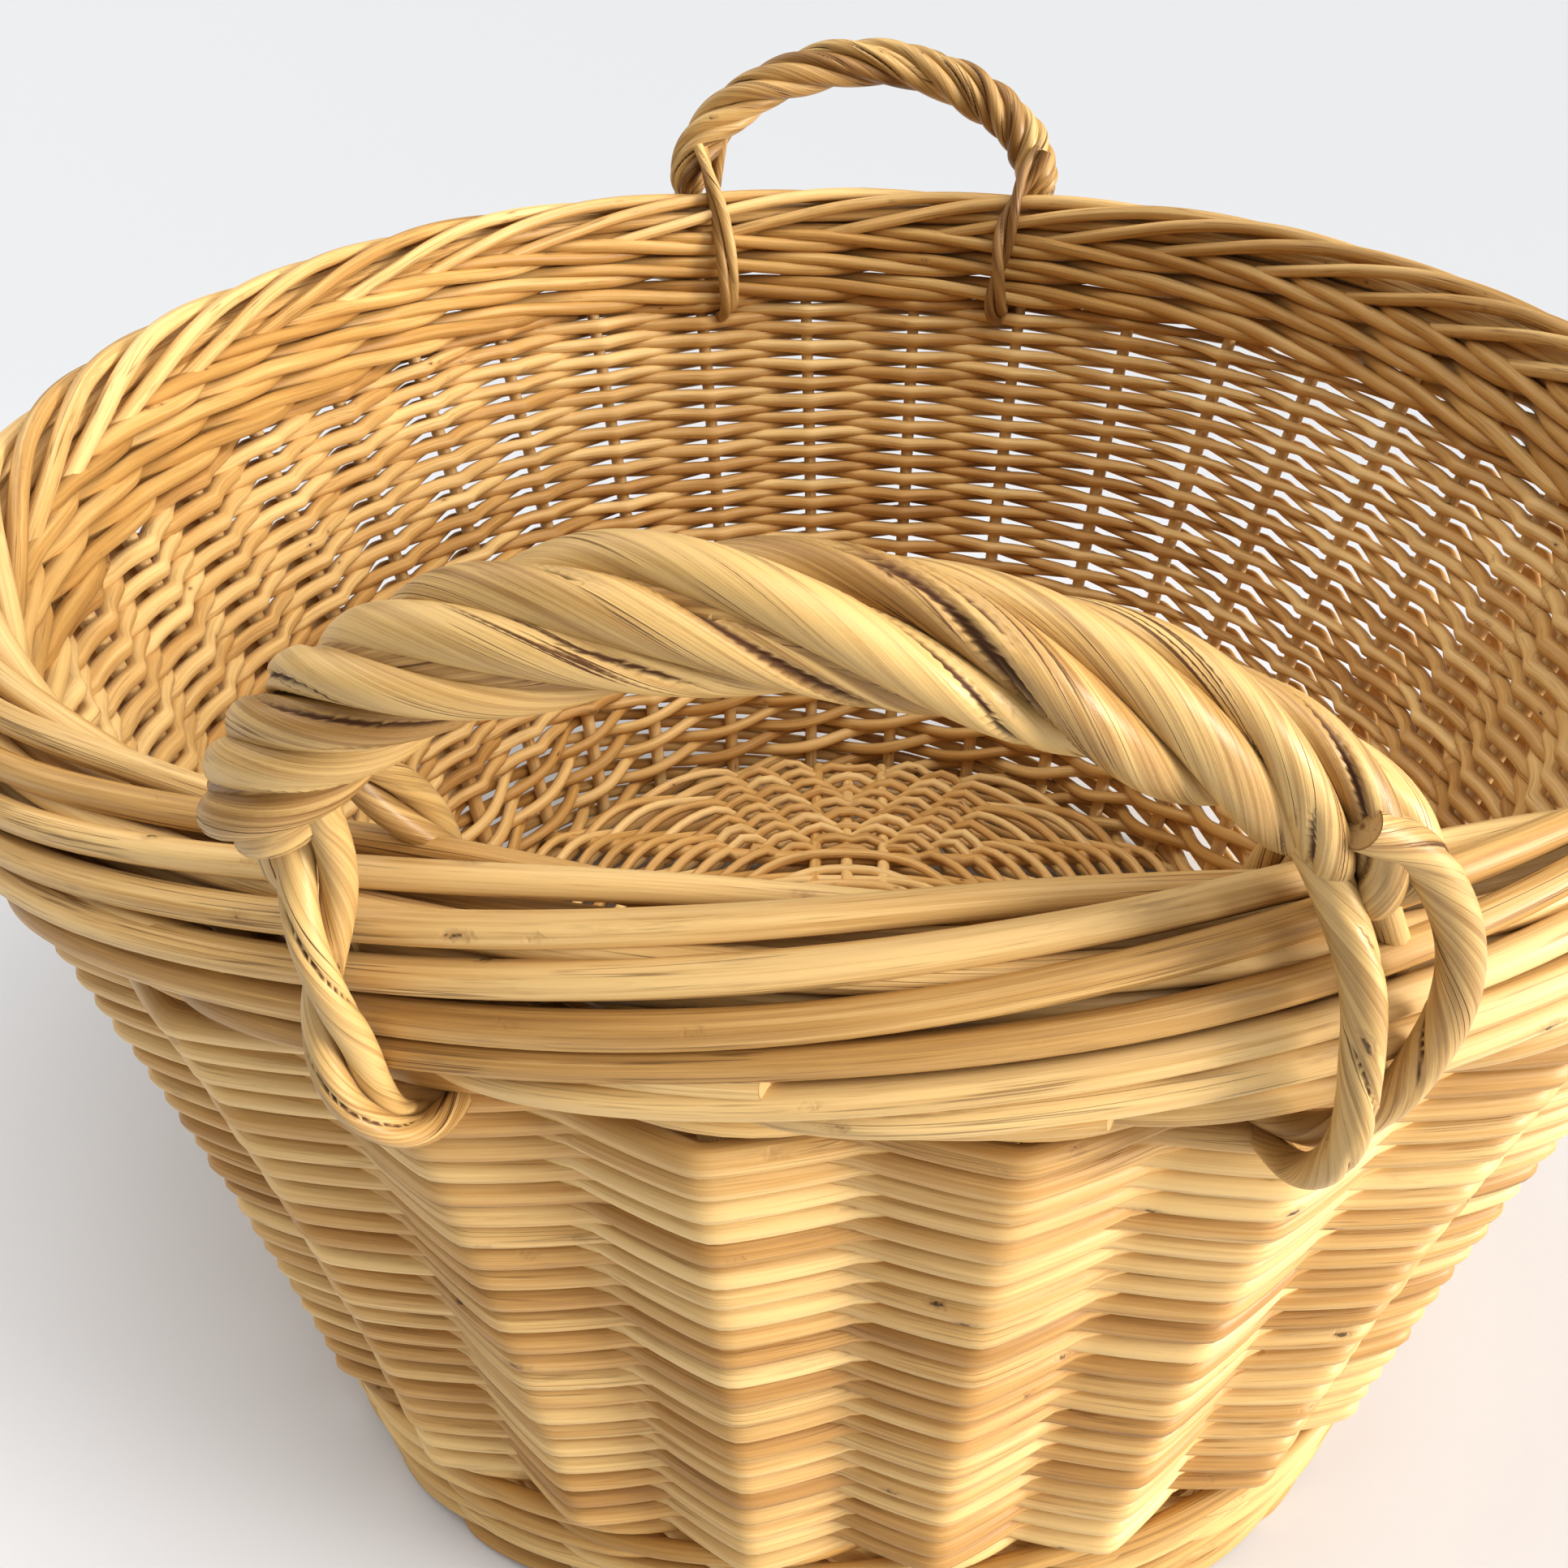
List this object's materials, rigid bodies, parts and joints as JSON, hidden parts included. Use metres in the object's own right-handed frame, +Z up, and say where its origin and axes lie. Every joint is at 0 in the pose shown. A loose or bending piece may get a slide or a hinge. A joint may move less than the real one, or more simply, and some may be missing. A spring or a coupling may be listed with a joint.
{
  "type": "willow basket",
  "caption": "Oval willow basket with a flared randed wall, waled foot and rim, a rod border and a roped handle at each end.",
  "frame": {"origin": "on the floor, under the middle of the basket", "axes": "+Z up; +Y along the basket's length, from the front handle to the back one; +X to the right seen from the front handle"},
  "size_m": [0.4638, 0.587, 0.3191],
  "materials": {
    "stakes": "peeled willow, satin",
    "siding": "peeled willow, satin",
    "wale": "peeled willow, satin",
    "border": "peeled willow, satin",
    "base_weave": "peeled willow, satin",
    "base_sticks": "peeled willow, satin",
    "handle_bow": "peeled willow, satin",
    "handle_rods": "peeled willow, satin"
  },
  "bodies": {
    "root": {"base_long_sticks": "base_sticks", "base_short_sticks": "base_sticks", "base_weave": "base_weave", "border_core": "border", "border_crown": "border", "border_inner_high": "border", "border_inner_low": "border", "border_outer_high": "border", "border_outer_low": "border", "foot_round": "wale", "handle_back_bow": "handle_bow", "handle_back_leg_left_rod_1": "handle_rods", "handle_back_leg_left_rod_2": "handle_rods", "handle_back_leg_right_rod_1": "handle_rods", "handle_back_leg_right_rod_2": "handle_rods", "handle_back_strand_1": "handle_rods", "handle_back_strand_2": "handle_rods", "handle_back_strand_3": "handle_rods", "handle_back_strand_4": "handle_rods", "handle_back_strand_5": "handle_rods", "handle_front_bow": "handle_bow", "handle_front_leg_left_rod_1": "handle_rods", "handle_front_leg_left_rod_2": "handle_rods", "handle_front_leg_right_rod_1": "handle_rods", "handle_front_leg_right_rod_2": "handle_rods", "handle_front_strand_1": "handle_rods", "handle_front_strand_2": "handle_rods", "handle_front_strand_3": "handle_rods", "handle_front_strand_4": "handle_rods", "handle_front_strand_5": "handle_rods", "siding_lower": "siding", "siding_middle": "siding", "siding_upper": "siding", "stakes_back_left": "stakes", "stakes_back_right": "stakes", "stakes_front_left": "stakes", "stakes_front_right": "stakes", "top_wale_1": "wale", "top_wale_2": "wale", "top_wale_3": "wale", "upsett_wale_1": "wale", "upsett_wale_2": "wale", "upsett_wale_3": "wale"}
  },
  "joints": []
}
